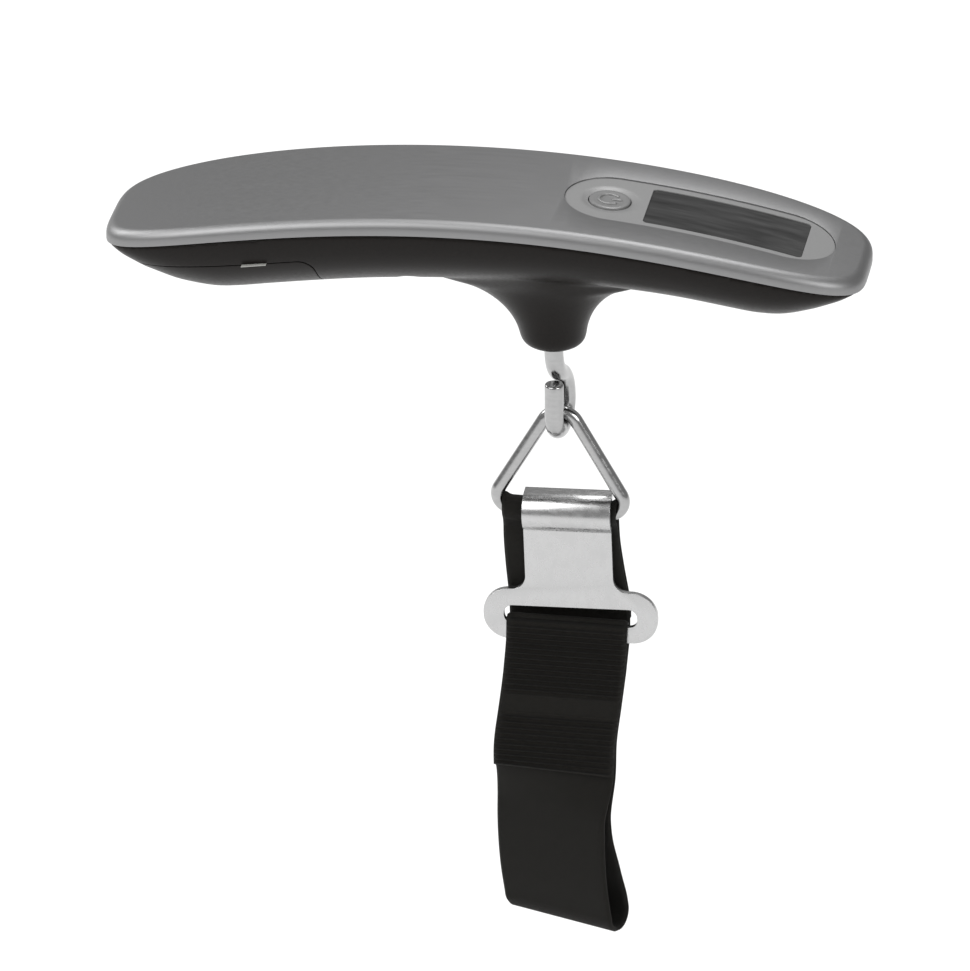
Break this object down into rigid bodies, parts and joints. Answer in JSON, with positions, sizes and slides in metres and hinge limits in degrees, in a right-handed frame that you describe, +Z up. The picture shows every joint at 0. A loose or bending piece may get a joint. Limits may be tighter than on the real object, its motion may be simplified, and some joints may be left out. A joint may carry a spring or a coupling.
{
  "type": "luggage scale",
  "caption": "Hand-held digital hanging scale: an arched T-shaped grip with a display and button, a hook, a triangular ring and a buckled webbing strap loop.",
  "frame": {"origin": "centre of the handle's grip, on the vertical line of the hook's load", "axes": "+Z up, away from the strap; +X along the handle towards the display; +Y from the buckle's side to the back"},
  "size_m": [0.151, 0.038, 0.163],
  "materials": {
    "cover_steel": "brushed along its length, bright polished edge",
    "panel_silver": "silver-grey satin lacquer",
    "window_smoke": "dark smoked acrylic",
    "casing_black": "fine textured black ABS",
    "frame_grey": "moulded ABS",
    "lcd_green": "reflective twisted-nematic display glass",
    "zebra_pink": "layered silicone",
    "board_green": "solder-masked glass-epoxy laminate",
    "chip_black": "epoxy",
    "switch_metal": "stamped",
    "screw_steel": "zinc plated",
    "screw_black": "black oxide",
    "contact_nickel": "nickel-plated spring steel",
    "cell_steel": "nickel-plated can",
    "film_clear": "frosted polyester film",
    "beam_aluminium": "milled",
    "gauge_foil": "polyimide film",
    "coating_white": "silicone sealant",
    "wire_red": "PVC insulation",
    "wire_black": "PVC insulation",
    "button_silver": "silver-grey satin lacquer",
    "hook_chrome": "polished nickel plate",
    "plate_steel": "stamped, satin nickel plate",
    "webbing_black": "tight plain weave",
    "thread_black": "bonded nylon thread"
  },
  "bodies": {
    "handle": {"top_cover": "cover_steel", "upper_frame": "frame_grey", "display_panel": "panel_silver", "display_window": "window_smoke", "lcd_glass": "lcd_green", "zebra_strips": "zebra_pink", "circuit_board": "board_green", "board_components": "chip_black", "tact_switch": "switch_metal", "board_screws": "screw_steel", "lower_casing": "casing_black", "casing_screws": "screw_black", "battery_contact_negative": "contact_nickel", "battery_contact_positive": "contact_nickel", "coin_cell": "cell_steel", "battery_pull_tab": "film_clear", "load_cell": "beam_aluminium", "load_cell_screws": "screw_black", "strain_gauges": "gauge_foil", "gauge_coating": "coating_white", "signal_wires": "wire_red", "battery_wires": "wire_black", "hook_washer": "screw_steel"},
    "button": {"power_button": "button_silver", "switch_plunger": "chip_black"},
    "door": {"battery_door": "casing_black"},
    "hook": {"hook": "hook_chrome", "hook_nut": "screw_steel"},
    "ring": {"triangle_ring": "hook_chrome"},
    "strap": {"strap_loop": "webbing_black", "bar_stitching": "thread_black"},
    "buckle": {"buckle_plate": "plate_steel", "strap_tab": "webbing_black", "tab_stitching": "thread_black"}
  },
  "joints": [
    {"name": "button_press", "type": "slide", "parent": "handle", "child": "button", "axis": [-0.0886, 0, -0.9961], "range_m": [0, 0.0004], "stiffness_N_per_m": 2000},
    {"name": "door_slide", "type": "slide", "parent": "handle", "child": "door", "axis": [-0.9886, 0, -0.1504], "range_m": [0, 0.04]},
    {"name": "hook_swivel", "type": "hinge", "parent": "handle", "child": "hook", "pos_m": [0, 0, -0.01], "axis": [0, 0, 1], "continuous": true},
    {"name": "ring_swing", "type": "hinge", "parent": "hook", "child": "ring", "pos_m": [0.0005, 0.00477, -0.0452], "axis": [0, 1, 0], "range_deg": [-35, 35]},
    {"name": "strap_swing", "type": "hinge", "parent": "ring", "child": "strap", "pos_m": [0.0005, 0.00477, -0.0639], "axis": [1, 0, 0], "range_deg": [-30, 20]},
    {"name": "buckle_unhook", "type": "hinge", "parent": "strap", "child": "buckle", "pos_m": [0.0005, 0.00477, -0.0639], "axis": [-1, 0, 0], "range_deg": [0, 40]}
  ]
}
